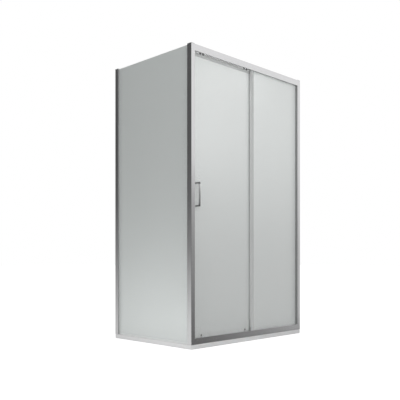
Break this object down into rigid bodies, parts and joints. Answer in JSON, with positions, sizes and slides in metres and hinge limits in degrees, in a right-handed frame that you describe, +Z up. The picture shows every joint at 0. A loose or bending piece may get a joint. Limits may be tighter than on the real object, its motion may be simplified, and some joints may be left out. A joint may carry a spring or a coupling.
{
  "type": "corner shower enclosure with a sliding front door",
  "caption": "Corner shower enclosure: framed sliding door beside a fixed pane, a fixed side pane, satin glass, bright aluminium posts and rails, pull handles and a slim tray",
  "frame": {"origin": "middle of the tray's underside", "axes": "+X along the front to the right wall, +Y back to the rear wall, +Z up"},
  "size_m": [1.2, 0.806, 1.98],
  "materials": {
    "tray_stone": "satin cast stone resin",
    "polished_aluminium": "bright polished and anodised",
    "satin_aluminium": "satin anodised, light grey",
    "satin_glass": "satin safety glass",
    "grey_rubber": "soft grey gasket",
    "clear_seal": "clear flexible plastic",
    "magnet_strip": "bonded magnet strip",
    "grey_cap_plastic": "moulded, light grey",
    "housing_plastic": "moulded, dark grey",
    "white_nylon": "turned nylon",
    "bright_chrome": "bright plated",
    "bare_steel": "bare stainless",
    "black_steel": "blackened bolts"
  },
  "bodies": {
    "frame": {"shower_tray": "tray_stone", "bottom_rail": "polished_aluminium", "top_rail": "polished_aluminium", "corner_post": "polished_aluminium", "right_post": "polished_aluminium", "right_wall_channel": "polished_aluminium", "side_front_profile": "polished_aluminium", "side_rear_profile": "polished_aluminium", "back_wall_channel": "polished_aluminium", "corner_post_cap": "grey_cap_plastic", "right_post_cap": "grey_cap_plastic", "side_rear_cap": "grey_cap_plastic", "fixed_glass": "satin_glass", "side_glass": "satin_glass", "fixed_glass_gaskets": "grey_rubber", "side_glass_gaskets": "grey_rubber", "side_bottom_seal": "clear_seal", "setting_blocks": "grey_rubber", "interlock_profile": "satin_aluminium", "interlock_gasket": "grey_rubber", "interlock_foot": "grey_cap_plastic", "interlock_fin_seal": "clear_seal", "jamb_magnet_seal": "clear_seal", "jamb_magnet": "magnet_strip", "rail_end_blocks": "grey_cap_plastic", "rail_screws": "bare_steel", "corner_joint_screws": "bare_steel", "right_post_screws": "bare_steel", "side_rear_screws": "bare_steel", "door_stops": "grey_cap_plastic"},
    "door": {"door_glass": "satin_glass", "door_top_profile": "satin_aluminium", "door_top_gasket": "grey_rubber", "door_profile_end_caps": "grey_cap_plastic", "door_magnet_seal": "clear_seal", "door_magnet": "magnet_strip", "door_trailing_seal": "clear_seal", "door_bottom_seal": "clear_seal", "outer_handle": "bright_chrome", "inner_handle": "bright_chrome", "handle_bushes": "clear_seal", "handle_bolts": "bare_steel", "carriage_bolts": "black_steel", "roller_axles": "bare_steel", "guide_caps": "housing_plastic", "left_roller_carriage": "bare_steel", "right_roller_carriage": "bare_steel", "left_guide_housing": "housing_plastic", "right_guide_housing": "housing_plastic", "left_guide_spring": "bare_steel", "right_guide_spring": "bare_steel"},
    "top_wheel_1": {"top_wheel_1": "white_nylon"},
    "top_wheel_2": {"top_wheel_2": "white_nylon"},
    "top_wheel_3": {"top_wheel_3": "white_nylon"},
    "top_wheel_4": {"top_wheel_4": "white_nylon"},
    "left_guide_plunger": {"left_guide_plunger": "housing_plastic"},
    "right_guide_plunger": {"right_guide_plunger": "housing_plastic"},
    "left_guide_wheel": {"left_guide_wheel": "white_nylon"},
    "right_guide_wheel": {"right_guide_wheel": "white_nylon"}
  },
  "joints": [
    {"name": "door_slide", "type": "slide", "parent": "frame", "child": "door", "axis": [1, 0, 0], "range_m": [0, 0.49]},
    {"name": "top_wheel_1_spin", "type": "hinge", "parent": "door", "child": "top_wheel_1", "pos_m": [-0.4952, -0.3465, 1.9564], "axis": [0, 1, 0], "continuous": true},
    {"name": "top_wheel_2_spin", "type": "hinge", "parent": "door", "child": "top_wheel_2", "pos_m": [-0.4472, -0.3465, 1.9564], "axis": [0, 1, 0], "continuous": true},
    {"name": "top_wheel_3_spin", "type": "hinge", "parent": "door", "child": "top_wheel_3", "pos_m": [-0.0502, -0.3465, 1.9564], "axis": [0, 1, 0], "continuous": true},
    {"name": "top_wheel_4_spin", "type": "hinge", "parent": "door", "child": "top_wheel_4", "pos_m": [-0.0022, -0.3465, 1.9564], "axis": [0, 1, 0], "continuous": true},
    {"name": "left_guide_release", "type": "slide", "parent": "door", "child": "left_guide_plunger", "axis": [0, 0, 1], "range_m": [0, 0.007], "stiffness_N_per_m": 800, "springref_m": -0.004, "deforming": ["left_guide_spring"]},
    {"name": "right_guide_release", "type": "slide", "parent": "door", "child": "right_guide_plunger", "axis": [0, 0, 1], "range_m": [0, 0.007], "stiffness_N_per_m": 800, "springref_m": -0.004, "deforming": ["right_guide_spring"]},
    {"name": "left_guide_wheel_spin", "type": "hinge", "parent": "left_guide_plunger", "child": "left_guide_wheel", "pos_m": [-0.4712, -0.3465, 0.0678], "axis": [0, 1, 0], "continuous": true},
    {"name": "right_guide_wheel_spin", "type": "hinge", "parent": "right_guide_plunger", "child": "right_guide_wheel", "pos_m": [-0.0262, -0.3465, 0.0678], "axis": [0, 1, 0], "continuous": true}
  ],
  "couplings": [
    {"joint": "top_wheel_1_spin", "follows": "door_slide", "rad_per_m": 100},
    {"joint": "top_wheel_2_spin", "follows": "door_slide", "rad_per_m": 100},
    {"joint": "top_wheel_3_spin", "follows": "door_slide", "rad_per_m": 100},
    {"joint": "top_wheel_4_spin", "follows": "door_slide", "rad_per_m": 100},
    {"joint": "left_guide_wheel_spin", "follows": "door_slide", "rad_per_m": 133.33},
    {"joint": "right_guide_wheel_spin", "follows": "door_slide", "rad_per_m": 133.33}
  ]
}
